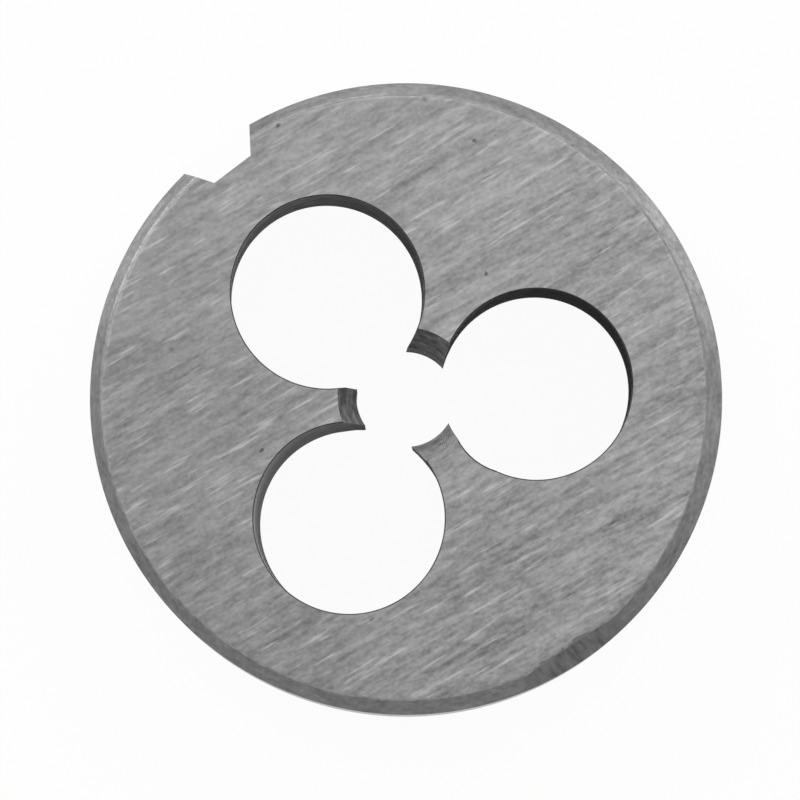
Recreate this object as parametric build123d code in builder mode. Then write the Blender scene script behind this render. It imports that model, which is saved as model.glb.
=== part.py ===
from build123d import *
import math
import os

# Solid round threading die for a fine metric thread, made as one piece of hardened steel.
#
# Frame: the thread axis is +Z and the origin lies on it, in the plane of the back face.
# The adjusting notch points to +Y, in line with the middle of the first chip hole.
# All sizes are in millimetres and all angles in degrees.

# Blank
body_diameter = 16.0
body_thickness = 5.0
front_chamfer = 0.36            # width of the 45 degree chamfer round the front rim
back_chamfer = 0.36             # the same round the back rim

# Thread
thread_diameter = 3.0           # nominal diameter, at the root of the die's own thread
thread_pitch = 0.5
thread_angle = 60.0             # between the two flanks of a tooth
lead_half_angle = 25.0          # slope of each lead cone to the thread axis
lead_overrun = 0.23             # how far a lead cone opens past the thread's root

# Chip holes
chip_hole_count = 3
chip_hole_diameter = 4.88
chip_hole_break_in = 0.32       # how far a chip hole cuts past the teeth's crests into the bore

# Adjusting notch
notch_depth = 0.73              # from the rim's circle to the flat bottom
notch_bottom_width = 1.15
notch_angle = 69.0              # between the two side walls

# Set-screw dimples in the rim
dimple_spread = 60.0            # from the notch to a dimple, each way round the rim
dimple_mouth_diameter = 2.0
dimple_cone_angle = 90.0
dimple_offset = 0.5             # above the rim's middle, so that a screw pulls the die down

# Witness flat, ground across the front chamfer
flat_inset = 0.49               # from the rim's circle to the flat's upper edge
flat_slope = 45.0               # from the front face
flat_direction = -93.4          # nearly opposite the notch

# Room for the cutters
cutter_overrun = 1.0            # how far a cut runs out past the surface that it enters
thread_cutter_overlap = 0.06    # how far the thread's cutter starts inside the teeth's crests

# Sizes that follow
notch_direction = 90.0          # the +Y axis
body_radius = body_diameter / 2

# ISO metric basic profile: the height of a sharp V, less an eighth at the root and a quarter
# at the crest.
flank_slope = math.tan(math.radians(thread_angle / 2))
sharp_v_height = thread_pitch / 2 / flank_slope
tooth_height = sharp_v_height * (1 - 1 / 8 - 1 / 4)
root_flat = thread_pitch / 8
root_radius = thread_diameter / 2
crest_radius = root_radius - tooth_height
cutter_start = crest_radius - thread_cutter_overlap

lead_mouth_radius = root_radius + lead_overrun
lead_depth = (lead_mouth_radius - crest_radius) / math.tan(math.radians(lead_half_angle))

chip_hole_radius = chip_hole_diameter / 2
chip_hole_circle = crest_radius + chip_hole_radius - chip_hole_break_in

# From one land to the next, the thread turns by this angle, rises by this height, and passes
# the front face a turn after this number of lands.
land_angle = 360 / chip_hole_count
land_rise = thread_pitch / chip_hole_count
thread_steps = math.ceil((body_thickness + thread_pitch) / land_rise)

notch_bottom = body_radius - notch_depth
notch_top = body_radius + cutter_overrun
notch_half_bottom = notch_bottom_width / 2
notch_half_top = notch_half_bottom + (notch_top - notch_bottom) * math.tan(math.radians(notch_angle / 2))

dimple_height = body_thickness / 2 + dimple_offset
dimple_slope = math.tan(math.radians(dimple_cone_angle / 2))
dimple_cutter_height = dimple_mouth_diameter / 2 / dimple_slope + cutter_overrun


def groove_half_width(radius):
    """Half the width, along the thread axis, of the thread groove at a radius."""
    return root_flat / 2 + (root_radius - radius) * flank_slope


def outward_plane(direction, radius, height, slope=90.0):
    """A plane that faces away from the thread axis, tilted by a slope from the front face."""
    outward = Vector(1, 0, 0).rotate(Axis.Z, direction)
    facing = outward * math.sin(math.radians(slope)) + Vector(0, 0, math.cos(math.radians(slope)))
    return Plane(origin=outward * radius + Vector(0, 0, height), z_dir=facing)


def screw_location(step):
    """Where the thread puts the cutter after it has passed a number of lands."""
    return Location((0, 0, land_rise * step), (0, 0, notch_direction + land_angle * step))


# Cutter for the groove between two teeth. It sweeps the thread's profile along the helix from
# the middle of one chip hole to the middle of the next, and so right across one land.
with BuildPart() as thread_cutter:
    with BuildLine() as thread_helix:
        Helix(pitch=thread_pitch, height=land_rise, radius=crest_radius)
    with BuildSketch(Plane.XZ):
        with BuildLine():
            Polyline(
                (cutter_start, -groove_half_width(cutter_start)),
                (root_radius, -groove_half_width(root_radius)),
                (root_radius, groove_half_width(root_radius)),
                (cutter_start, groove_half_width(cutter_start)),
                close=True,
            )
        make_face()
    sweep(path=thread_helix.line, is_frenet=True)

with BuildPart() as round_die:

    # Turned blank with its bore and both lead cones. Its section stands on the notch's side,
    # so that the seam of the rim falls in the notch.
    with BuildSketch(Plane.YZ):
        with BuildLine():
            Polyline(
                (lead_mouth_radius, 0),
                (body_radius - back_chamfer, 0),
                (body_radius, back_chamfer),
                (body_radius, body_thickness - front_chamfer),
                (body_radius - front_chamfer, body_thickness),
                (lead_mouth_radius, body_thickness),
                (crest_radius, body_thickness - lead_depth),
                (crest_radius, lead_depth),
                close=True,
            )
        make_face()
    revolve(axis=Axis.Z)

    # Chip holes. They open into the bore and leave one toothed land between each two.
    with PolarLocations(chip_hole_circle, chip_hole_count, start_angle=notch_direction):
        Hole(radius=chip_hole_radius)

    # Right-hand thread. One screw motion carries the cutter from land to land, up the bore from
    # a turn below the back face to a turn above the front face. What it leaves are the teeth.
    with Locations(*[screw_location(step) for step in range(-chip_hole_count, thread_steps)]):
        add(thread_cutter.part, mode=Mode.SUBTRACT)

    # Adjusting notch, cut along the rim from face to face.
    with BuildSketch(Plane.XY.offset(-cutter_overrun)):
        with BuildLine():
            Polyline(
                (-notch_half_bottom, notch_bottom),
                (notch_half_bottom, notch_bottom),
                (notch_half_top, notch_top),
                (-notch_half_top, notch_top),
                close=True,
            )
        make_face()
    extrude(amount=body_thickness + 2 * cutter_overrun, mode=Mode.SUBTRACT)

    # Pointed set-screw dimples, one each side of the notch.
    for direction in (notch_direction - dimple_spread, notch_direction + dimple_spread):
        with Locations(outward_plane(direction, body_radius + cutter_overrun, dimple_height)):
            Cone(
                bottom_radius=0,
                top_radius=dimple_cutter_height * dimple_slope,
                height=dimple_cutter_height,
                align=(Align.CENTER, Align.CENTER, Align.MAX),
                mode=Mode.SUBTRACT,
            )

    # Witness flat. The grinding wheel's plane takes off the corner of the rim that stands
    # above it.
    split(
        bisect_by=outward_plane(flat_direction, body_radius - flat_inset, body_thickness, flat_slope),
        keep=Keep.BOTTOM,
    )

round_die.part.label = "round_die"

os.makedirs("parts", exist_ok=True)
export_step(round_die.part, "parts/round_die.step")
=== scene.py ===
"""Looks of a solid round threading die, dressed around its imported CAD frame.

The die lies on its back face with its thread axis up, as the frame has it. Sizes are written in
millimetres and angles in degrees. Each piece is modelled at one unit to the millimetre and is
brought to metres when its shape is finished.
"""

import logging
import math
from collections.abc import Callable, Iterator, Sequence
from contextlib import contextmanager
from dataclasses import dataclass, field, replace
from enum import Enum

import bpy
from bpy.types import Material, Node, NodeSocket, NodeTree, Object, World
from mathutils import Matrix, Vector


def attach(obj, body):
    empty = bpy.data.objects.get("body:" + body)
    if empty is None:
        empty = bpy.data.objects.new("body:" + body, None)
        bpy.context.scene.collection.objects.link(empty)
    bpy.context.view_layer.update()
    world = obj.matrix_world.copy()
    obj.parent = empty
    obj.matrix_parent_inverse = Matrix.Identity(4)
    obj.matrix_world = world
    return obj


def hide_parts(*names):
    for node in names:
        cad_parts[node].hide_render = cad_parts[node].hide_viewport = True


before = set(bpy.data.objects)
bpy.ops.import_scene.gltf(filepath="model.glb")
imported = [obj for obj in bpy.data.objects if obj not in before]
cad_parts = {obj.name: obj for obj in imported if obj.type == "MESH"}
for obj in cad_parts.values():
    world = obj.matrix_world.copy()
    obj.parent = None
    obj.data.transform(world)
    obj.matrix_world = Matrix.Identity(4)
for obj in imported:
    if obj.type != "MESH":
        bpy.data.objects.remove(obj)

log = logging.getLogger("round_die")

MILLIMETRE = 0.001
CLOSE = 1e-3                    # points nearer than this, in millimetres, count as level
CAD_NODE = "round_die"

PointPick = Callable[[Vector], bool]
LinePick = Callable[[Vector, Vector], bool]
Source = Node | NodeSocket      # a node stands for its first output


# ---------------- small helpers


class Pick(Enum):
    """What a selection in edit mode is made of, in the order of its three settings."""

    POINTS = "points"
    EDGES = "edges"
    FACES = "faces"


def polar(radius: float, direction: float, height: float = 0.0) -> Vector:
    """Returns the point at a radius, a direction in degrees from +X, and a height."""
    turn = math.radians(direction)
    return Vector((radius * math.cos(turn), radius * math.sin(turn), height))


def hex_to_linear(colour: str) -> tuple[float, float, float, float]:
    """Turns an sRGB hex colour into linear values.

    Args:
        colour: Six hex digits after a hash, such as "#9a9a9a".

    Returns:
        Linear red, green and blue, and an alpha of 1.
    """
    channels = []
    for start in (1, 3, 5):
        value = int(colour[start:start + 2], 16) / 255
        channels.append(value / 12.92 if value <= 0.04045 else ((value + 0.055) / 1.055) ** 2.4)
    return (channels[0], channels[1], channels[2], 1.0)


def only(*objects: Object) -> None:
    """Selects some objects and nothing else.

    Args:
        *objects: The objects. The first one becomes the active one.
    """
    bpy.ops.object.select_all(action="DESELECT")
    for item in objects:
        item.select_set(True)
    bpy.context.view_layer.objects.active = objects[0]


def named(name: str) -> Object:
    """Names the active object and its mesh.

    Args:
        name: The name for both.

    Returns:
        The active object.
    """
    item = bpy.context.active_object
    item.name = name
    item.data.name = name
    return item


@contextmanager
def edit_mode(item: Object, kind: Pick = Pick.POINTS) -> Iterator[None]:
    """Opens an object in edit mode for the work inside a with block.

    Args:
        item: The mesh object to shape.
        kind: What the selection is made of.
    """
    only(item)
    bpy.context.tool_settings.mesh_select_mode = [kind is option for option in Pick]
    bpy.ops.object.mode_set(mode="EDIT")
    yield
    bpy.ops.object.mode_set(mode="OBJECT")


def mark(item: Object, points: PointPick | None = None, edges: LinePick | None = None) -> None:
    """Selects a mesh's points or edges by where they are, ready for edit mode.

    Args:
        item: The mesh object.
        points: Says of a point's place whether it is wanted. Edges and faces between wanted
            points are then selected with them.
        edges: Says of an edge's middle and unit direction whether it is wanted.
    """
    mesh = item.data
    for group in (mesh.vertices, mesh.edges, mesh.polygons):
        group.foreach_set("select", [False] * len(group))
    if points is not None:
        for vertex in mesh.vertices:
            vertex.select = points(vertex.co)
        for part in (*mesh.edges, *mesh.polygons):
            part.select = all(mesh.vertices[corner].select for corner in part.vertices)
    if edges is not None:
        for edge in mesh.edges:
            start, end = (mesh.vertices[corner].co for corner in edge.vertices)
            edge.select = edges((start + end) / 2, (end - start).normalized())
            if edge.select:
                for corner in edge.vertices:
                    mesh.vertices[corner].select = True


def cut(item: Object, cutter: Object) -> None:
    """Takes a cutter's shape out of a piece, and then removes the cutter.

    Args:
        item: The piece.
        cutter: The closed shape to take away.
    """
    only(item)
    bpy.ops.object.modifier_add(type="BOOLEAN")
    boolean = item.modifiers[-1]
    boolean.operation = "DIFFERENCE"
    boolean.solver = "EXACT"
    boolean.object = cutter
    bpy.ops.object.modifier_apply(modifier=boolean.name)
    only(cutter)
    bpy.ops.object.delete()


def set_place(item: Object) -> None:
    """Puts an object's place, turn and scale into its mesh."""
    only(item)
    bpy.ops.object.transform_apply(location=True, rotation=True, scale=True)


def clean(item: Object, gap: float) -> None:
    """Merges points that fall together and turns every face outwards.

    Args:
        item: The mesh object.
        gap: How near two points are when they count as one.
    """
    with edit_mode(item):
        bpy.ops.mesh.select_all(action="SELECT")
        bpy.ops.mesh.remove_doubles(threshold=gap)
        bpy.ops.mesh.normals_make_consistent(inside=False)


def draw_out(item: Object, height: float, length: float, spread: float) -> None:
    """Draws the level end of an upright shape out along its axis, and widens what it drew.

    Args:
        item: The shape, unturned and with its object on its axis.
        height: Where the end lies, in the shape's own space.
        length: How far it is drawn, upwards or, below zero, downwards.
        spread: How many times as wide the new end is.
    """
    mark(item, points=lambda p: abs(p.z - height) < CLOSE)
    with edit_mode(item, Pick.FACES):
        bpy.ops.mesh.extrude_region_move(TRANSFORM_OT_translate={"value": (0, 0, length)})
        bpy.ops.transform.resize(value=(spread, spread, 1), center_override=item.location)


def copies_of(item: Object, count: int) -> list[Object]:
    """Copies an object, each copy with its own mesh.

    Args:
        item: The object.
        count: How many there are to be, the object itself among them.

    Returns:
        The object and its copies.
    """
    copies = [item]
    for _ in range(1, count):
        only(item)
        bpy.ops.object.duplicate(linked=False)
        copies.append(bpy.context.active_object)
    return copies


def joined(items: Sequence[Object]) -> Object:
    """Joins objects into the first of them.

    Args:
        items: The objects.

    Returns:
        The joined object, with its place in its mesh.
    """
    only(*items)
    bpy.ops.object.join()
    set_place(items[0])
    return items[0]


# ---------------- finishes


def feed(tree: NodeTree, node: Node, inputs: dict[str | int, object]) -> None:
    """Sets or links a node's inputs.

    Args:
        tree: The node tree.
        node: The node.
        inputs: A value, or a source to link, for each input by its name or number.
    """
    for name, value in inputs.items():
        if isinstance(value, Source):
            source = value.outputs[0] if isinstance(value, Node) else value
            tree.links.new(source, node.inputs[name])
        else:
            node.inputs[name].default_value = value


def add_node(
    tree: NodeTree, kind: str, inputs: dict[str | int, object] | None = None, **settings: object
) -> Node:
    """Adds a node with its settings, and sets or links its inputs.

    Args:
        tree: The node tree.
        kind: The node's type name after "ShaderNode", such as "Math".
        inputs: As feed takes them.
        **settings: The node's own properties.

    Returns:
        The new node.
    """
    node = tree.nodes.new("ShaderNode" + kind)
    for name, value in settings.items():
        setattr(node, name, value)
    feed(tree, node, inputs or {})
    return node


class Grain(Enum):
    """The way that a tool's lines run over a surface."""

    STRAIGHT = "straight"       # along one direction, from a surface grinder
    ROUND = "round"             # round the thread axis, from a lathe
    LEVEL = "level"             # level round a wall, from a drill or a plunge grinder


@dataclass(frozen=True)
class Marks:
    """One size of tool mark: its length, width and turn, and how strongly it shows."""

    length: float
    width: float
    strength: float
    turn: float = 0.0


@dataclass(frozen=True)
class Lean:
    """Painted light: the paleness or the contrast of a finish, growing towards the side of the die where
    the light falls.
    """

    direction: float            # in degrees from +X
    change: float               # from the thread axis out to the reach on that side
    reach: float = 8.0


@dataclass(frozen=True)
class Fade:
    """How a finish turns to another colour with its distance from the thread axis one way."""

    direction: float            # in degrees from +X
    start: float
    stop: float
    colour: str
    both_ways: bool = False
    ragged: float = 0.0         # how far the marks shift it, in millimetres


NOISE_STEP = (31.7, 17.3, 5.9)      # parts one size of mark from the next in the same noise
# Painted glints: a few scratches are painted near white, as if they caught the light.
GLINT_SCRATCH_PART = 20                     # the part of the noise that sparks use
GLINT_SCRATCH_COLOUR = "#e8e8e8"
GLINT_SCRATCH_RANGE = (0.60, 0.78)          # the noise at which a spark begins and is at its lightest
PIT_COLOUR = "#3c3b3a"
PIT_DEPTH = 4.0                     # in depths of the marks
PIT_SHARE = (0.6, 1.0, 0.8)         # the cells that have a pit, and how dark the darkest is
PIT_CORE = 0.3                      # the share of a pit's radius that is fully dark
PIT_WOBBLE = (12.0, 0.1)            # how fine and how far a pit's edge wanders, in cells


@dataclass(frozen=True)
class SteelFinish:
    """Hardened tool steel as one process left it.

    Dark and light are the colours of the marks' troughs and ridges. Glint scratches are the few marks
    painted brighter than the rest, as painted glints, and pits are small dark holes in the skin. A finish
    may be painted paler, or its marks painted in more contrast, towards the side of the die where the
    light falls, which is painted light.
    """

    name: str
    dark: str
    light: str
    grain: Grain
    marks: tuple[Marks, ...]
    roughness: tuple[float, float] = (0.36, 0.5)
    metallic: float = 1.0
    turn: float = 0.0
    depth: float = 0.002
    glint_scratches: Marks | None = None
    pit_spacing: float = 0.0
    pit_radius: float = 0.06
    specular: float = 0.5
    painted_light_lean: Lean | None = None
    painted_glint_lean: Lean | None = None
    fade: Fade | None = None
    round_radius: float = 7.8       # where marks that run round have their true length

    def material(self) -> Material:
        """Builds the finish.

        Returns:
            The material, with its colour, roughness and bump from the same marks.
        """
        made = bpy.data.materials.new(self.name)
        made.use_nodes = True
        tree = made.node_tree
        where = self._place(tree)
        tone = None
        for index, marks in enumerate(self.marks):
            tone = self._add_scaled(tree, tone, self._noise(tree, where, marks, index), marks.strength)
        # Painted glints: the marks are drawn in more contrast towards one side of the die.
        if self.painted_glint_lean:
            tone = self._add_scaled(tree, None, tone, self._lean(tree, self.painted_glint_lean, 1.0))
        # Painted light: the tone grows paler towards one side of the die.
        if self.painted_light_lean:
            tone = add_node(tree, "Math", {0: tone, 1: self._lean(tree, self.painted_light_lean, 0.0)})
        height = tone
        layers: list[tuple[Source, str]] = []
        if self.glint_scratches:
            layers.append((self._glint_scratch_mask(tree, where, self.glint_scratches), GLINT_SCRATCH_COLOUR))
        if self.pit_spacing:
            pit = self._pits(tree, where)
            height = self._add_scaled(tree, height, pit, -PIT_DEPTH, centre=0.0)
            layers.append((pit, PIT_COLOUR))
        if self.fade:
            layers.append((self._faded(tree, self.fade, tone), self.fade.colour))
        tint = hex_to_linear(self.dark)
        for share, colour in ((tone, self.light), *layers):
            tint = add_node(tree, "Mix", {
                0: share, 6: tint, 7: hex_to_linear(colour),
            }, data_type="RGBA").outputs[2]
        feed(tree, tree.nodes["Principled BSDF"], {
            "Base Color": tint,
            "Metallic": self.metallic,
            "Specular IOR Level": self.specular,
            "Roughness": add_node(tree, "MapRange", {
                "Value": tone, "To Min": self.roughness[1], "To Max": self.roughness[0],
            }),
            "Normal": add_node(tree, "Bump", {
                "Height": height, "Distance": self.depth * MILLIMETRE, "Strength": 1.0,
            }),
        })
        return made

    def _place(self, tree: NodeTree) -> Source:
        """Finds the place on the surface, for its marks.

        Args:
            tree: The material's nodes.

        Returns:
            The place along, across and through the marks.
        """
        place = add_node(tree, "TexCoord").outputs["Object"]
        if self.grain is not Grain.ROUND:
            return place
        axes = add_node(tree, "SeparateXYZ", {0: place})
        flat = add_node(tree, "CombineXYZ", {0: axes.outputs[0], 1: axes.outputs[1]})
        radius = add_node(tree, "VectorMath", {0: flat}, operation="LENGTH")
        angle = add_node(tree, "Math", {0: axes.outputs[1], 1: axes.outputs[0]}, operation="ARCTAN2")
        arc = add_node(tree, "Math", {0: angle, 1: self.round_radius * MILLIMETRE}, operation="MULTIPLY")
        return add_node(tree, "CombineXYZ", {0: arc, 1: radius.outputs["Value"], 2: axes.outputs[2]})

    def _towards(self, tree: NodeTree, direction: float) -> Source:
        """Measures how far a point lies from the thread axis one way.

        Args:
            tree: The material's nodes.
            direction: The way, in degrees from +X.

        Returns:
            The distance in millimetres.
        """
        place = add_node(tree, "TexCoord").outputs["Object"]
        side = polar(1 / MILLIMETRE, direction)
        return add_node(tree, "VectorMath", {0: place, 1: side}, operation="DOT_PRODUCT").outputs["Value"]

    def _lean(self, tree: NodeTree, lean: Lean, middle: float) -> Source:
        """Returns a value that is the middle one at the thread axis and grows towards one side, as painted
        light.
        """
        return add_node(tree, "Math", {
            0: self._towards(tree, lean.direction), 1: lean.change / lean.reach, 2: middle,
        }, operation="MULTIPLY_ADD")

    def _faded(self, tree: NodeTree, fade: Fade, tone: Source) -> Source:
        """Finds how far the finish has turned to the other colour.

        Args:
            tree: The material's nodes.
            fade: How the colour turns.
            tone: The marks, which make the border ragged.

        Returns:
            The other colour's share, from 0 to 1.
        """
        far = self._towards(tree, fade.direction)
        if fade.both_ways:
            far = add_node(tree, "Math", {0: far}, operation="ABSOLUTE")
        return add_node(tree, "MapRange", {
            "Value": self._add_scaled(tree, far, tone, fade.ragged),
            "From Min": fade.start, "From Max": fade.stop,
        }, interpolation_type="SMOOTHSTEP")

    def _glint_scratch_mask(self, tree: NodeTree, where: Source, glint_scratches: Marks) -> Source:
        """Picks the few marks that are painted bright, as painted glints on real scratches.

        Args:
            tree: The material's nodes.
            where: The place on the surface.
            glint_scratches: The size of those marks.

        Returns:
            A mask of them, from 0 to their strength.
        """
        light = add_node(tree, "MapRange", {
            "Value": self._noise(tree, where, glint_scratches, GLINT_SCRATCH_PART),
            "From Min": GLINT_SCRATCH_RANGE[0], "From Max": GLINT_SCRATCH_RANGE[1],
        })
        return add_node(tree, "Math", {0: light, 1: glint_scratches.strength}, operation="MULTIPLY")

    def _noise(self, tree: NodeTree, where: Source, marks: Marks, index: int) -> Source:
        """Draws one size of mark as noise that is stretched along the mark.

        Args:
            tree: The material's nodes.
            where: The place on the surface.
            marks: The marks to draw.
            index: A number for this size of mark, which moves it to its own part of the noise.

        Returns:
            The noise, from 0 to 1.
        """
        through = marks.length if self.grain is Grain.STRAIGHT else marks.width
        across = marks.length if self.grain is Grain.LEVEL else marks.width
        stretched = add_node(tree, "Mapping", {
            "Vector": where, "Rotation": (0.0, 0.0, math.radians(self.turn + marks.turn)),
            "Scale": (marks.length * MILLIMETRE, across * MILLIMETRE, through * MILLIMETRE),
        }, vector_type="TEXTURE")
        moved = add_node(tree, "VectorMath", {
            0: stretched, 1: tuple(step * index for step in NOISE_STEP),
        })
        return add_node(tree, "TexNoise", {
            "Vector": moved, "Scale": 1.0, "Detail": 1.0, "Roughness": 0.5,
        })

    def _add_scaled(
        self, tree: NodeTree, base: Source | None, extra: Source, strength: float | Source,
        centre: float = 0.5,
    ) -> Source:
        """Adds one tone to another.

        Args:
            tree: The material's nodes.
            base: The tone so far, or None for a middle grey.
            extra: The tone to add.
            strength: How much of it is added.
            centre: The extra tone that changes nothing.

        Returns:
            The sum.
        """
        off = add_node(tree, "Math", {0: extra, 1: centre}, operation="SUBTRACT")
        return add_node(tree, "Math", {
            0: off, 1: strength, 2: 0.5 if base is None else base,
        }, operation="MULTIPLY_ADD")

    def _pits(self, tree: NodeTree, where: Source) -> Source:
        """Scatters a few small pits.

        Args:
            tree: The material's nodes.
            where: The place on the surface.

        Returns:
            A mask of the pits, from 0 to how dark the darkest is.
        """
        fineness, reach = PIT_WOBBLE
        scaled = add_node(tree, "Mapping", {
            "Vector": where, "Scale": (self.pit_spacing * MILLIMETRE,) * 3,
        }, vector_type="TEXTURE")
        wobble = add_node(tree, "TexNoise", {"Vector": scaled, "Scale": fineness})
        bent = add_node(tree, "VectorMath", {
            0: wobble.outputs["Color"], 1: (reach, reach, 0.0), 2: scaled,
        }, operation="MULTIPLY_ADD")
        cells = add_node(tree, "TexVoronoi", {"Vector": bent, "Scale": 1.0}, voronoi_dimensions="2D")
        limit = self.pit_radius / self.pit_spacing
        spot = add_node(tree, "MapRange", {
            "Value": cells.outputs["Distance"], "From Min": limit * PIT_CORE, "From Max": limit,
            "To Min": 1.0, "To Max": 0.0,
        })
        share = add_node(tree, "SeparateColor", {0: cells.outputs["Color"]})
        chosen = add_node(tree, "MapRange", {
            "Value": share, "From Min": PIT_SHARE[0], "From Max": PIT_SHARE[1],
            "To Max": PIT_SHARE[2],
        })
        return add_node(tree, "Math", {0: spot, 1: chosen}, operation="MULTIPLY")


# Marks are given in millimetres: length, then width. A millimetre is about 40 pixels of a
# render, so real scratches of 0.02 or 0.03 mm are too fine to show and are drawn coarser.

# Surface-ground with a wheel of about 60 grit: soft silvery streaks one way, with a few scratches
# painted bright as glints, and small dark pits. Its scratches, 0.03 mm wide, are drawn three to six
# times as coarse. The two broadest marks are the wheel's passes. The face is painted paler towards
# one side and its marks in more contrast towards another: painted light and painted glints.
GROUND_FACE = SteelFinish(
    "surface_ground_tool_steel", "#646464", "#b6b6b6", Grain.STRAIGHT,
    (Marks(3.0, 1.2, 0.2), Marks(4.0, 0.45, 0.35, 1.5), Marks(1.7, 0.17, 0.5, 0.5),
     Marks(0.45, 0.13, 0.6, -2.0), Marks(0.12, 0.09, 0.45)),
    # Painted glints on a few scratches; painted light, paler towards 25 degrees; painted glints, marks in
    # more contrast towards -40 degrees.
    turn=-7.9, glint_scratches=Marks(0.9, 0.1, 0.3, 1.0), pit_spacing=1.8, pit_radius=0.08,
    painted_light_lean=Lean(25.0, 0.12), painted_glint_lean=Lean(-40.0, 0.22),
    fade=Fade(-93.4, 7.38, 7.58, "#6d6d6d", ragged=0.6),
)

# The same for the back face, which lay another way on the grinder and is even all over.
GROUND_BACK = replace(
    GROUND_FACE, name="surface_ground_back_tool_steel", turn=14.0, painted_light_lean=None, painted_glint_lean=None, fade=None
)

# Turned: fine rings make a smoother band than the face, which catches one soft box after the
# other. Its darker tone than the face's is painted shade. The feed of 0.05 mm is drawn about three
# times as coarse.
TURNED_CHAMFER = SteelFinish(
    # Painted shade: these colours are darker than the face's.
    "turned_tool_steel", "#535353", "#848484", Grain.ROUND,
    (Marks(0.8, 0.22, 0.6), Marks(0.16, 0.12, 0.8)), roughness=(0.38, 0.46),
)

# Gone over with an oil stone where the face meets the chamfer: a thin line between both in tone,
# so that neither ends in a hard edge. Its tone, halfway to the chamfer's painted shade, is partly
# painted shade.
STONED_EDGE = replace(TURNED_CHAMFER, name="stoned_edge_tool_steel", dark="#5d5d5d", light="#9f9f9f")

# Plunge-ground between centres: fine level lines draw each highlight out round the rim. They are
# 0.02 mm wide and drawn three times as coarse.
GROUND_RIM = SteelFinish(
    "plunge_ground_tool_steel", "#6c6c6c", "#b8b8b8", Grain.LEVEL,
    (Marks(1.5, 0.08, 1.0), Marks(0.4, 0.05, 0.5)), roughness=(0.3, 0.44),
)

# Held by hand against a bench wheel of about 36 grit: scratches down the slope make it darker
# and duller than the chamfer, which it fades into at both ends. They are 0.1 mm wide, and drawn
# a little coarser.
WHEEL_GROUND_FLAT = SteelFinish(
    "rough_ground_tool_steel", "#373737", "#858585", Grain.STRAIGHT,
    (Marks(1.0, 0.15, 0.7), Marks(0.4, 0.12, 0.7, 8.0)), turn=-93.4, roughness=(0.5, 0.66),
    fade=Fade(-3.4, 0.75, 1.4, "#6d6d6d", both_ways=True, ragged=0.3),
)

# Drilled and hardened, and not ground since. The furnace's scale is an oxide with no metal's
# glint: matt and nearly black. The walls are painted paler towards one side of the die, which is
# painted light. The feed of 0.1 mm is drawn coarser.
DRILLED_WALL = SteelFinish(
    "drilled_scaled_tool_steel", "#303030", "#a6a6a6", Grain.LEVEL,
    (Marks(1.0, 0.14, 0.9), Marks(0.4, 0.3, 0.8)), roughness=(0.8, 0.95), metallic=0.0, specular=0.05,
    # Painted light: paler towards the side of the die where the light falls.
    painted_light_lean=Lean(163.0, 1.0),
)

# Broken with a countersink and half scaled. The thin dark line that it makes round each hole is
# partly scale and partly painted shade. Its chatter of 0.1 mm is drawn twice as coarse.
DEBURRED_EDGE = SteelFinish(
    # Painted shade, with the scale: the thin dark line round each hole.
    "deburred_edge_tool_steel", "#242424", "#595959", Grain.LEVEL,
    (Marks(0.5, 0.2, 0.9), Marks(0.2, 0.2, 0.8)), roughness=(0.6, 0.8), metallic=0.5,
)

# Lead cone, ground with a tapered point that left scale in the deeper rings: grey and half dull,
# and painted paler towards one side, which is painted light. Rings of 0.03 mm are drawn seven
# times as coarse.
GROUND_LEAD = SteelFinish(
    "ground_lead_tool_steel", "#424242", "#929292", Grain.ROUND,
    (Marks(0.5, 0.2, 0.6), Marks(0.22, 0.22, 1.4)), roughness=(0.48, 0.6), metallic=0.5,
    # Painted light: paler towards the side of the die where the light falls.
    painted_light_lean=Lean(-92.0, 0.38, 1.6), round_radius=1.5,
)

# Thread, cut with a tap before hardening: the lead cone's grey, but darker, and like it painted
# paler towards one side, which is painted light. The tap's tear marks of 0.05 mm are drawn three
# times as coarse.
CUT_THREAD = SteelFinish(
    "cut_thread_tool_steel", "#383838", "#727272", Grain.ROUND,
    (Marks(0.4, 0.14, 0.5), Marks(0.2, 0.16, 0.8)), roughness=(0.5, 0.62), metallic=0.5,
    # Painted light: paler towards the side of the die where the light falls.
    painted_light_lean=Lean(-92.0, 0.36, 1.6), round_radius=1.5,
)

# Milled from the rim: dark steel with a low shine and level feed lines 0.1 mm apart.
MILLED_NOTCH = SteelFinish(
    "milled_notch_tool_steel", "#4a4a4a", "#909090", Grain.LEVEL,
    (Marks(0.9, 0.12, 1.0), Marks(0.3, 0.2, 0.6)), roughness=(0.4, 0.56),
)

# Countersunk: a little brighter than the notch, with feed lines 0.1 mm apart.
COUNTERSUNK_DIMPLE = SteelFinish(
    "countersunk_tool_steel", "#4a4a4a", "#9a9a9a", Grain.LEVEL,
    (Marks(0.6, 0.1, 1.0), Marks(0.3, 0.2, 0.6)), roughness=(0.38, 0.54),
)


# ---------------- the die


WELD = 2e-4                     # points of the finished die nearer than this are merged
GROOVE_WELD = 1e-5              # the same for the thread's groove, before it cuts
OVERRUN = 1.0                   # how far most cutters stand out past what they cut


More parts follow.
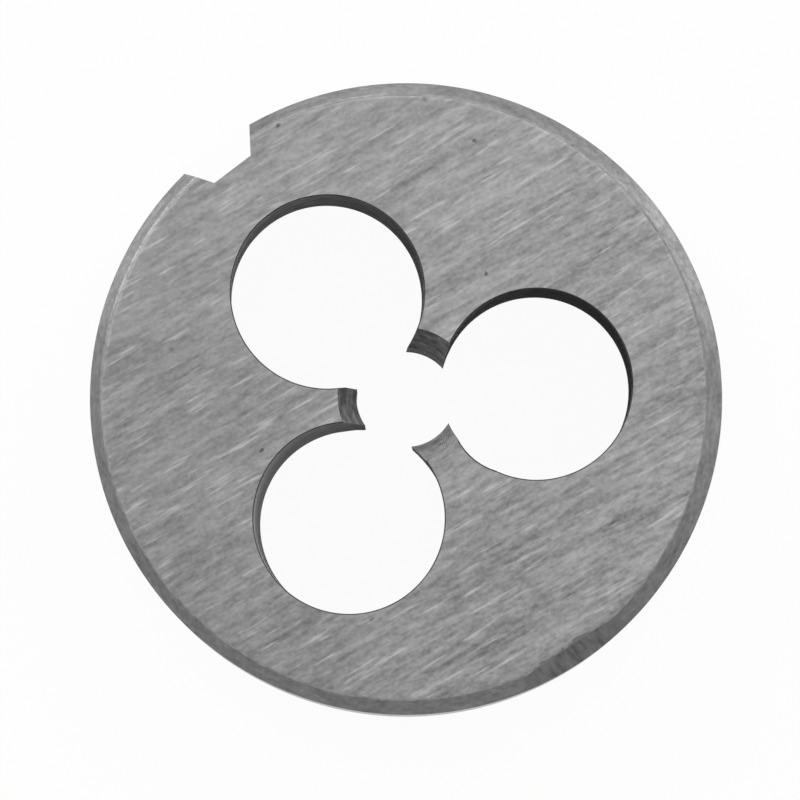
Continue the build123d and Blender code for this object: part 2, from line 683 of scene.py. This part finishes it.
@dataclass
class Blank:
    """The turned disc with its chamfers, before anything is drilled."""

    radius: float = 8.0
    thickness: float = 5.0
    chamfer: float = 0.36
    segments: int = 512
    edge_break: float = 0.1         # of the corner between a face and its chamfer
    edge_steps: int = 4
    rim_break: float = 0.015        # of the corner between a chamfer and the rim
    front_shift: float = 0.06       # the front face's circle is this far off the rim's
    front_shift_direction: float = 114.0

    def build(self) -> Object:
        """Turns the disc, with an edge break on each corner of its chamfers.

        Returns:
            The disc, on its back face.
        """
        bpy.ops.mesh.primitive_cylinder_add(
            vertices=self.segments, radius=self.radius, depth=self.thickness,
            location=(0, 0, self.thickness / 2),
        )
        disc = named("die_body")
        set_place(disc)
        self._bevel_rings(disc, self.chamfer, (0.0, self.thickness), 1)
        mark(disc, points=lambda p: p.z > self.thickness - CLOSE)
        with edit_mode(disc):
            bpy.ops.transform.translate(value=polar(self.front_shift, self.front_shift_direction))
        self._bevel_rings(disc, self.rim_break, (self.chamfer, self.thickness - self.chamfer), 1)
        self._bevel_rings(disc, self.edge_break, (0.0, self.thickness), self.edge_steps)
        return disc

    def _bevel_rings(self, disc: Object, width: float, heights: Sequence[float], steps: int) -> None:
        """Bevels the level edges that run round the disc at some heights.

        Args:
            disc: The disc.
            width: How far the bevel reaches along the faces beside an edge.
            heights: Where the edges are.
            steps: How many faces make the bevel.
        """
        mark(disc, edges=lambda middle, along: abs(along.z) < CLOSE and any(
            abs(middle.z - height) < CLOSE for height in heights
        ))
        with edit_mode(disc, Pick.EDGES):
            bpy.ops.mesh.bevel(offset=width, segments=steps, affect="EDGES")


@dataclass
class Bore:
    """The threaded bore with a lead cone at each face."""

    shift: Vector = field(default_factory=lambda: Vector((0.038, 0.050, 0.0)))
    crest_radius: float = 1.2594
    root_radius: float = 1.5
    mouth_radius: float = 1.73      # of a lead cone at its face
    lead_depth: float = 1.0092
    pitch: float = 0.5
    root_flat: float = 0.0625
    thread_angle: float = 60.0
    segments: int = 288
    overrun: float = 0.3            # of the lead cones past the faces
    overlap: float = 0.06           # how far the groove starts inside the crests
    spare_turns: int = 3            # carry the groove past both faces

    def cutter(self, thickness: float) -> Object:
        """Makes the bore's own shape: a core with a cone drawn out of each end.

        Args:
            thickness: The die's thickness.

        Returns:
            The shape to cut away.
        """
        depth = thickness - 2 * self.lead_depth
        bpy.ops.mesh.primitive_cylinder_add(
            vertices=self.segments, radius=self.crest_radius, depth=depth, location=(0, 0, thickness / 2)
        )
        core = named("bore_cutter")
        set_place(core)
        slope = (self.mouth_radius - self.crest_radius) / self.lead_depth
        steps = (
            (self.lead_depth, self.mouth_radius),
            (self.overrun, self.mouth_radius + slope * self.overrun),
        )
        for side in (1, -1):
            end = thickness / 2 + side * depth / 2
            radius = self.crest_radius
            for length, wider in steps:
                draw_out(core, end, side * length, wider / radius)
                radius = wider
                end += side * length
        core.location = self.shift
        set_place(core)
        return core

    def groove(self, thickness: float, start_direction: float) -> Object:
        """Winds the thread's groove: one trapezoid, screwed up the bore and capped.

        Args:
            thickness: The die's thickness.
            start_direction: The side on which the groove begins, in degrees from +X.

        Returns:
            The shape to cut away.
        """
        inner = self.crest_radius - self.overlap
        half = self.root_flat / 2
        wide = half + (self.root_radius - inner) * math.tan(math.radians(self.thread_angle / 2))
        bpy.ops.mesh.primitive_plane_add(size=1, location=(0, 0, 0))
        wire = named("groove_cutter")
        corners = ((inner, -wide), (self.root_radius, -half), (self.root_radius, half), (inner, wide))
        order = (0, 1, 3, 2)            # a new plane numbers its corners row by row
        for index, (radius, height) in zip(order, corners):
            wire.data.vertices[index].co = polar(radius, start_direction, height - self.pitch)
        with edit_mode(wire, Pick.FACES):
            bpy.ops.mesh.select_all(action="SELECT")
            bpy.ops.mesh.delete(type="ONLY_FACE")
        only(wire)
        bpy.ops.object.modifier_add(type="SCREW")
        screw = wire.modifiers[-1]
        screw.axis = "Z"
        screw.angle = math.tau
        screw.screw_offset = self.pitch
        screw.iterations = math.ceil(thickness / self.pitch) + self.spare_turns
        screw.steps = screw.render_steps = self.segments
        screw.use_smooth_shade = False
        bpy.ops.object.modifier_apply(modifier=screw.name)
        with edit_mode(wire, Pick.EDGES):
            bpy.ops.mesh.select_all(action="DESELECT")
            bpy.ops.mesh.select_non_manifold(extend=False, use_wire=True, use_boundary=True)
            bpy.ops.mesh.edge_face_add()
        clean(wire, GROOVE_WELD)
        wire.location = self.shift
        set_place(wire)
        return wire


@dataclass(frozen=True)
class DrillError:
    """How far off a drill entered and left, and how much too wide it cut."""

    entry: Vector = field(default_factory=Vector)
    exit: Vector = field(default_factory=Vector)
    growth: float = 1.0


@dataclass
class ChipHoles:
    """The drilled holes that break into the bore and part its thread into lands."""

    count: int = 3
    radius: float = 2.4167
    circle: float = 3.3642
    direction: float = 88.67        # a real drill jig's small error from the notch at 90
    shift: Vector = field(default_factory=lambda: Vector((-0.022, 0.052, 0.0)))
    segments: int = 256
    edge_break: float = 0.03
    overrun: float = 0.2            # of the flare past the faces
    errors: tuple[DrillError, ...] = (
        DrillError(Vector((-0.030, -0.073, 0.0)), Vector((-0.072, -0.041, 0.0)), 1.0115),
        DrillError(exit=Vector((0.066, -0.103, 0.0))),
        DrillError(),
    )
    reach: float = 0.15             # past its radius, a face still belongs to a hole
    least_slope: float = 0.5        # the level part of a wall's normal is longer than this
    least_inward: float = 0.97      # and this near, as a cosine, to the way to the hole's axis

    def axes(self) -> list[Vector]:
        """Returns where each hole's axis stands."""
        turns = [self.direction + 360 / self.count * index for index in range(self.count)]
        return [polar(self.circle, turn) + self.shift for turn in turns]

    def holds(self, place: Vector, normal: Vector) -> bool:
        """Says whether a face lies on the wall or the broken edge of a hole.

        Args:
            place: The face's centre.
            normal: Its outward normal.

        Returns:
            True where it does.
        """
        for axis in self.axes():
            inward = axis.xy - place.xy
            if inward.length < self.radius + self.reach and normal.xy.length > self.least_slope:
                if inward.normalized().dot(normal.xy.normalized()) > self.least_inward:
                    return True
        return False

    def cutter(self, thickness: float) -> Object:
        """Makes one drill shape, flared at both faces, and copies it round the bore.

        Args:
            thickness: The die's thickness.

        Returns:
            The shape to cut away.
        """
        axes = self.axes()
        middle = Vector((0, 0, thickness / 2))
        bpy.ops.mesh.primitive_cylinder_add(
            vertices=self.segments, radius=self.radius, depth=thickness - 2 * self.edge_break,
            location=axes[0] + middle,
        )
        drill = named("chip_hole_cutter")
        flare = self.edge_break + self.overrun
        for side in (1, -1):
            end = (thickness / 2 - self.edge_break) * side
            draw_out(drill, end, side * flare, (self.radius + flare) / self.radius)
        copies = copies_of(drill, self.count)
        for copy, axis, error in zip(copies, axes, self.errors):
            copy.location = axis + middle
            copy.scale = (error.growth, error.growth, 1.0)
            for side, drift in ((1, error.entry), (-1, error.exit)):
                mark(copy, points=lambda p: p.z * side > 0)
                with edit_mode(copy):
                    bpy.ops.transform.translate(value=drift)
        return joined(copies)


@dataclass(frozen=True)
class Flute:
    """Where a sharpening flute's axis stands, and its radius."""

    place: tuple[float, float]
    radius: float


@dataclass
class Sharpening:
    """The small flutes that sharpening ground along two of the cutting edges."""

    flutes: tuple[Flute, ...] = (Flute((-0.104, 2.041), 1.3), Flute((2.009, -1.882), 1.6))
    segments: int = 192
    edge_break: float = 0.03
    flare_breaks: int = 3           # the flare's height, in edge breaks

    def cutter(self, thickness: float) -> Object:
        """Makes the grinding point once, flared at the front face, and copies it to each edge.

        Args:
            thickness: The die's thickness.

        Returns:
            The shape to cut away.
        """
        bpy.ops.mesh.primitive_cylinder_add(
            vertices=self.segments, radius=1.0, depth=thickness + OVERRUN,
            location=(0, 0, thickness / 2 - OVERRUN / 2 - self.edge_break),
        )
        point = named("sharpening_cutter")
        set_place(point)
        flare = self.flare_breaks * self.edge_break
        draw_out(point, thickness - self.edge_break, flare, 1 + flare / self.flutes[0].radius)
        copies = copies_of(point, len(self.flutes))
        for copy, flute in zip(copies, self.flutes):
            copy.scale = (flute.radius, flute.radius, 1.0)
            copy.location = (*flute.place, 0.0)
        return joined(copies)


@dataclass
class Notch:
    """The adjusting notch along the rim."""

    bottom_radius: float = 7.27
    bottom_width: float = 1.15
    angle: float = 69.0
    direction: float = 90.25

    def cutter(self, rim: float, thickness: float) -> Object:
        """Makes the notch's wedge, with its narrow side towards the thread.

        Args:
            rim: The die's radius.
            thickness: The die's thickness.

        Returns:
            The shape to cut away.
        """
        depth = rim + OVERRUN - self.bottom_radius
        bpy.ops.mesh.primitive_cube_add(size=1, location=(0, 0, 0))
        wedge = named("notch_cutter")
        wedge.scale = (self.bottom_width, depth, thickness + 2 * OVERRUN)
        wedge.location = (0, self.bottom_radius + depth / 2, thickness / 2)
        set_place(wedge)
        top = self.bottom_width + 2 * depth * math.tan(math.radians(self.angle / 2))
        mark(wedge, points=lambda p: p.y > self.bottom_radius + depth / 2)
        with edit_mode(wedge):
            bpy.ops.transform.resize(value=(top / self.bottom_width, 1, 1), center_override=(0, 0, 0))
        wedge.rotation_euler.z = math.radians(self.direction - 90)
        set_place(wedge)
        return wedge


@dataclass
class Dimples:
    """The two pointed dimples in the rim that set screws bear in."""

    directions: tuple[float, ...] = (30.0, 150.0)
    mouth_diameter: float = 2.0
    cone_angle: float = 90.0
    height: float = 3.0
    segments: int = 96

    def cutter(self, rim: float) -> Object:
        """Makes one cone at each dimple, with its point towards the thread.

        Args:
            rim: The die's radius.

        Returns:
            The shape to cut away.
        """
        slope = math.tan(math.radians(self.cone_angle / 2))
        length = self.mouth_diameter / 2 / slope + OVERRUN
        cones = []
        for direction in self.directions:
            bpy.ops.mesh.primitive_cone_add(
                vertices=self.segments, radius1=0.0, radius2=length * slope, depth=length,
                location=polar(rim + OVERRUN - length / 2, direction, self.height),
                rotation=(0, math.radians(90), math.radians(direction)),
            )
            cones.append(named("dimple_cutter"))
        return joined(cones)


@dataclass(frozen=True)
class WheelPass:
    """One pass of the wheel: how far inside the rim it meets the face, and on which side."""

    inset: float
    direction: float            # in degrees from +X


@dataclass
class WitnessFlat:
    """The flat ground by hand across the front chamfer, nearly opposite the notch."""

    passes: tuple[WheelPass, ...] = (
        WheelPass(0.49, -93.4), WheelPass(0.483, -94.8), WheelPass(0.484, -91.9),
    )
    slope: float = 45.0
    least_along: float = 0.985      # the least cosine between a pass's normal and its faces'
    furthest_off: float = 0.006     # how far from a pass's plane its faces may lie
    bisect_gap: float = 1e-6

    def facing(self, direction: float) -> Vector:
        """Returns a pass's outward normal."""
        tilt = math.radians(self.slope)
        return polar(math.sin(tilt), direction, math.cos(tilt))

    def holds(self, place: Vector, normal: Vector, rim: float, thickness: float) -> bool:
        """Says whether a face lies on one of the passes.

        Args:
            place: The face's centre.
            normal: Its outward normal.
            rim: The die's radius.
            thickness: The die's thickness.

        Returns:
            True where it does.
        """
        for ground in self.passes:
            facing = self.facing(ground.direction)
            off = (place - polar(rim - ground.inset, ground.direction, thickness)).dot(facing)
            if normal.dot(facing) > self.least_along and abs(off) < self.furthest_off:
                return True
        return False

    def grind(self, disc: Object, rim: float, thickness: float) -> None:
        """Bisects the disc by each pass's plane and closes the cut.

        Args:
            disc: The disc.
            rim: Its radius.
            thickness: Its thickness.
        """
        for ground in self.passes:
            with edit_mode(disc):
                bpy.ops.mesh.select_all(action="SELECT")
                bpy.ops.mesh.bisect(
                    plane_co=polar(rim - ground.inset, ground.direction, thickness),
                    plane_no=self.facing(ground.direction),
                    use_fill=True, clear_outer=True, threshold=self.bisect_gap,
                )


# A face's rise is the height of its unit normal, without its sign. It is 1 on a level face and
# 0 on an upright wall, and tells which process made the face.
FACE_RISE = 0.93                # above this: a ground face and the strips of its edge break
EDGE_RISE = 0.86                # above this: the stoned strip next to those
CHAMFER_RISE = 0.2              # above this: a chamfer, where the height fits
LEAD_RISE = (0.4, 0.45)         # between these: a lead cone
DRILL_RISE = 0.3                # below this: a drilled wall, and above it that hole's edge
WALL_RISE = 0.1                 # below this: any other upright wall

BORE_REACH = 0.1                # past the lead cones' mouths, a face still belongs to the bore
RIM_SKIN = 0.02                 # a notch's wall ends this far inside the rim
RIM_GAP = 0.01                  # how far from the rim's radius its faces may lie


@dataclass
class Die:
    """The whole die: a turned blank, drilled, threaded, notched and ground."""

    blank: Blank = field(default_factory=Blank)
    bore: Bore = field(default_factory=Bore)
    chip_holes: ChipHoles = field(default_factory=ChipHoles)
    sharpening: Sharpening = field(default_factory=Sharpening)
    notch: Notch = field(default_factory=Notch)
    dimples: Dimples = field(default_factory=Dimples)
    flat: WitnessFlat = field(default_factory=WitnessFlat)
    crisp_angle: float = 24.0       # an edge that turns by more stays crisp
    size_weight: int = 80           # how much larger faces decide the shading at a corner
    size_gap: float = 1e-4          # faces nearer in size than this count as equal

    def build(self) -> Object:
        """Builds the die's shape.

        Returns:
            The die in metres, at the frame's place.
        """
        rim, thickness = self.blank.radius, self.blank.thickness
        body = self.blank.build()
        self.flat.grind(body, rim, thickness)
        cut(body, self.chip_holes.cutter(thickness))
        cut(body, self.bore.cutter(thickness))
        cut(body, self.bore.groove(thickness, self.notch.direction))
        cut(body, self.sharpening.cutter(thickness))
        cut(body, self.notch.cutter(rim, thickness))
        cut(body, self.dimples.cutter(rim))
        clean(body, WELD)
        only(body)
        bpy.ops.object.shade_smooth_by_angle(angle=math.radians(self.crisp_angle))
        bpy.ops.object.modifier_add(type="WEIGHTED_NORMAL")
        weighting = body.modifiers[-1]
        weighting.keep_sharp = True
        weighting.thresh = self.size_gap
        weighting.weight = self.size_weight
        bpy.ops.object.modifier_apply(modifier=weighting.name)
        body.scale = (MILLIMETRE,) * 3
        set_place(body)
        return body

    def finish_at(self, place: Vector, normal: Vector) -> SteelFinish:
        """Says which finish a face has.

        Args:
            place: The face's centre, in millimetres.
            normal: The face's outward normal.

        Returns:
            The finish of the process that made the face.
        """
        rim, thickness = self.blank.radius, self.blank.thickness
        radius = place.xy.length
        rise = abs(normal.z)
        if min(abs(place.z), abs(place.z - thickness)) < self.blank.edge_break:
            if rise > FACE_RISE:
                return GROUND_FACE if normal.z > 0 else GROUND_BACK
            if rise > EDGE_RISE and radius > self.notch.bottom_radius:
                return STONED_EDGE
        if self.chip_holes.holds(place, normal):
            return DRILLED_WALL if rise < DRILL_RISE else DEBURRED_EDGE
        if radius < self.bore.mouth_radius + BORE_REACH:
            return GROUND_LEAD if LEAD_RISE[0] < rise < LEAD_RISE[1] else CUT_THREAD
        if rise < WALL_RISE and radius < self.chip_holes.circle:
            return DRILLED_WALL
        if self.flat.holds(place, normal, rim, thickness):
            return WHEEL_GROUND_FLAT
        if place.y > self.notch.bottom_radius - CLOSE and rise < WALL_RISE and radius < rim - RIM_SKIN:
            return MILLED_NOTCH
        if rise < WALL_RISE and abs(radius - rim) < RIM_GAP:
            return GROUND_RIM
        if rise > CHAMFER_RISE and min(place.z, thickness - place.z) < self.blank.chamfer + RIM_SKIN:
            return TURNED_CHAMFER
        return COUNTERSUNK_DIMPLE

    def dress(self, body: Object) -> None:
        """Gives each face of the die the finish of the process that made it.

        Args:
            body: The die.
        """
        slots: dict[str, int] = {}
        for polygon in body.data.polygons:
            finish = self.finish_at(polygon.center / MILLIMETRE, polygon.normal)
            if finish.name not in slots:
                slots[finish.name] = len(slots)
                body.data.materials.append(finish.material())
            polygon.material_index = slots[finish.name]


# ---------------- the studio


def seen_directly(tree: NodeTree) -> Source:
    """Tells the rays that show the background itself from those that light what is matt.

    Args:
        tree: The node tree.

    Returns:
        1 for a ray from the camera, a mirror or glass, and 0 for any other.
    """
    path = add_node(tree, "LightPath")
    seen = path.outputs["Is Camera Ray"]
    for kind in ("Is Glossy Ray", "Is Transmission Ray"):
        seen = add_node(tree, "Math", {0: seen, 1: path.outputs[kind]}, operation="MAXIMUM")
    return seen


@dataclass(frozen=True)
class Camera:
    """A long lens over the die, tilted a little off its axis."""

    azimuth: float = -36.9
    elevation: float = 87.85
    distance: float = 300.0
    lens: float = 534.1
    sensor_width: float = 36.0
    target: tuple[float, float, float] = (0.0, 0.0, 5.0)
    slide: tuple[float, float] = (-0.1526, -0.0456)     # of the target, to the right and up
    clip: tuple[float, float] = (0.001, 10.0)           # in metres

    def place(self) -> Object:
        """Adds the camera and makes it the scene's own.

        Returns:
            The camera.
        """
        turn, rise = math.radians(self.azimuth), math.radians(self.elevation)
        back = Vector((math.sin(turn) * math.cos(rise), -math.cos(turn) * math.cos(rise), math.sin(rise)))
        facing = (-back).to_track_quat("-Z", "Y")
        aim = Vector(self.target) + facing @ Vector((*self.slide, 0))
        bpy.ops.object.camera_add()
        camera = bpy.context.active_object
        camera.name = "camera"
        camera.rotation_mode = "QUATERNION"
        camera.rotation_quaternion = facing
        camera.location = (aim + back * self.distance) * MILLIMETRE
        camera.data.lens = self.lens
        camera.data.sensor_width = self.sensor_width
        camera.data.clip_start, camera.data.clip_end = self.clip
        bpy.context.scene.camera = camera
        return camera


@dataclass(frozen=True)
class SoftBox:
    """A square soft box that faces the die."""

    direction: float            # in degrees from +X
    rise: float                 # in degrees over the floor
    size: float
    brightness: float
    distance: float = 200.0

    def hang(self) -> Object:
        """Adds the lamp at its place.

        Returns:
            The lamp, as bright to look at as its level says, whatever its size.
        """
        tilt = math.radians(self.rise)
        back = polar(math.cos(tilt), self.direction, math.sin(tilt))
        bpy.ops.object.light_add(type="AREA", location=back * self.distance * MILLIMETRE)
        lamp = bpy.context.active_object
        lamp.name = "soft_box"
        lamp.rotation_euler = (-back).to_track_quat("-Z", "Y").to_euler()
        lamp.data.size = self.size * MILLIMETRE
        lamp.data.energy = self.brightness * math.pi * lamp.data.size ** 2
        return lamp


@dataclass(frozen=True)
class Studio:
    """A plain pale floor under a soft, slightly lopsided light.

    The sky's levels light only what is matt, because all other rays see it white.
    """

    floor_size: float = 600.0
    floor_drop: float = 0.02            # keeps the floor clear of the die's back face
    floor_colour: str = "#f4f4f4"
    floor_roughness: float = 0.9
    floor_glow: float = 0.95            # the share of white that hides the floor's own shade
    zenith_level: float = 0.97
    zenith_rise: tuple[float, float] = (0.75, 0.97)     # where the zenith begins and is full
    back_level: float = 0.30            # the horizon away from the soft boxes
    front_level: float = 0.74           # what is added to it between the soft boxes
    front_direction: float = 40.0
    front_span: tuple[float, float] = (-0.6, 0.7)       # cosines to it, as for the zenith
    boxes: tuple[SoftBox, ...] = (
        SoftBox(-4.0, 6.0, 100.0, 4.0), SoftBox(111.0, 6.0, 110.0, 7.0), SoftBox(65.0, 6.0, 90.0, 4.6),
        SoftBox(32.0, 3.0, 180.0, 1.5), SoftBox(-38.0, 6.0, 120.0, 0.8), SoftBox(148.0, 6.0, 120.0, 0.6),
    )

    def floor(self) -> Object:
        """Lays the floor, which the camera, mirrors and glass see nearly white, with its shadow.

        Returns:
            The floor, which isn't part of the object.
        """
        bpy.ops.mesh.primitive_plane_add(
            size=self.floor_size * MILLIMETRE, location=(0, 0, -self.floor_drop * MILLIMETRE)
        )
        plane = named("studio_floor")
        paper = bpy.data.materials.new("matt_backdrop_paper")
        paper.use_nodes = True
        tree = paper.node_tree
        shader = tree.nodes["Principled BSDF"]
        feed(tree, shader, {
            "Base Color": hex_to_linear(self.floor_colour), "Roughness": self.floor_roughness,
        })
        glow = add_node(tree, "Emission", {"Color": (1, 1, 1, 1), "Strength": 1.0})
        share = add_node(tree, "Math", {0: seen_directly(tree), 1: self.floor_glow}, operation="MULTIPLY")
        mix = add_node(tree, "MixShader", {0: share, 1: shader, 2: glow})
        feed(tree, tree.nodes["Material Output"], {"Surface": mix})
        plane.data.materials.append(paper)
        return plane

    def sky(self) -> World:
        """Makes the world: white to the camera, mirrors and glass, and soft light on what is matt.

        Returns:
            The world.
        """
        world = bpy.data.worlds.new("soft_studio")
        world.use_nodes = True
        tree = world.node_tree
        bpy.context.scene.world = world
        where = add_node(tree, "TexCoord").outputs["Generated"]
        side = add_node(tree, "VectorMath", {
            0: where, 1: polar(1, self.front_direction),
        }, operation="DOT_PRODUCT")
        front = add_node(tree, "MapRange", {
            "Value": side.outputs["Value"], "From Min": self.front_span[0], "From Max": self.front_span[1],
            "To Max": self.front_level,
        }, interpolation_type="SMOOTHSTEP")
        level = add_node(tree, "Math", {0: front, 1: self.back_level})
        up = add_node(tree, "SeparateXYZ", {0: where})
        high = add_node(tree, "MapRange", {
            "Value": up.outputs["Z"], "From Min": self.zenith_rise[0], "From Max": self.zenith_rise[1],
        }, interpolation_type="SMOOTHSTEP")
        glow = add_node(tree, "Mix", {"Factor": high, "A": level, "B": self.zenith_level})
        final = add_node(tree, "Mix", {"Factor": seen_directly(tree), "A": glow, "B": 1.0})
        feed(tree, tree.nodes["Background"], {"Color": (1, 1, 1, 1), "Strength": final})
        return world


def main() -> None:
    """Builds the die and its studio in order, and reports each piece."""
    logging.basicConfig(level=logging.INFO, format="%(name)s: %(message)s")
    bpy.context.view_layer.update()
    die = Die()
    body = die.build()
    die.dress(body)
    log.info("%s: %d faces, %d finishes", body.name, len(body.data.polygons), len(body.data.materials))
    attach(body, "root")
    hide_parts(CAD_NODE)
    log.info("%s: placed", Camera().place().name)
    studio = Studio()
    log.info("%s: laid", studio.floor().name)
    studio.sky()
    for box in studio.boxes:
        log.info("%s: hung", box.hang().name)
    bpy.context.scene.view_settings.view_transform = "Standard"


if __name__ == "__main__":
    main()
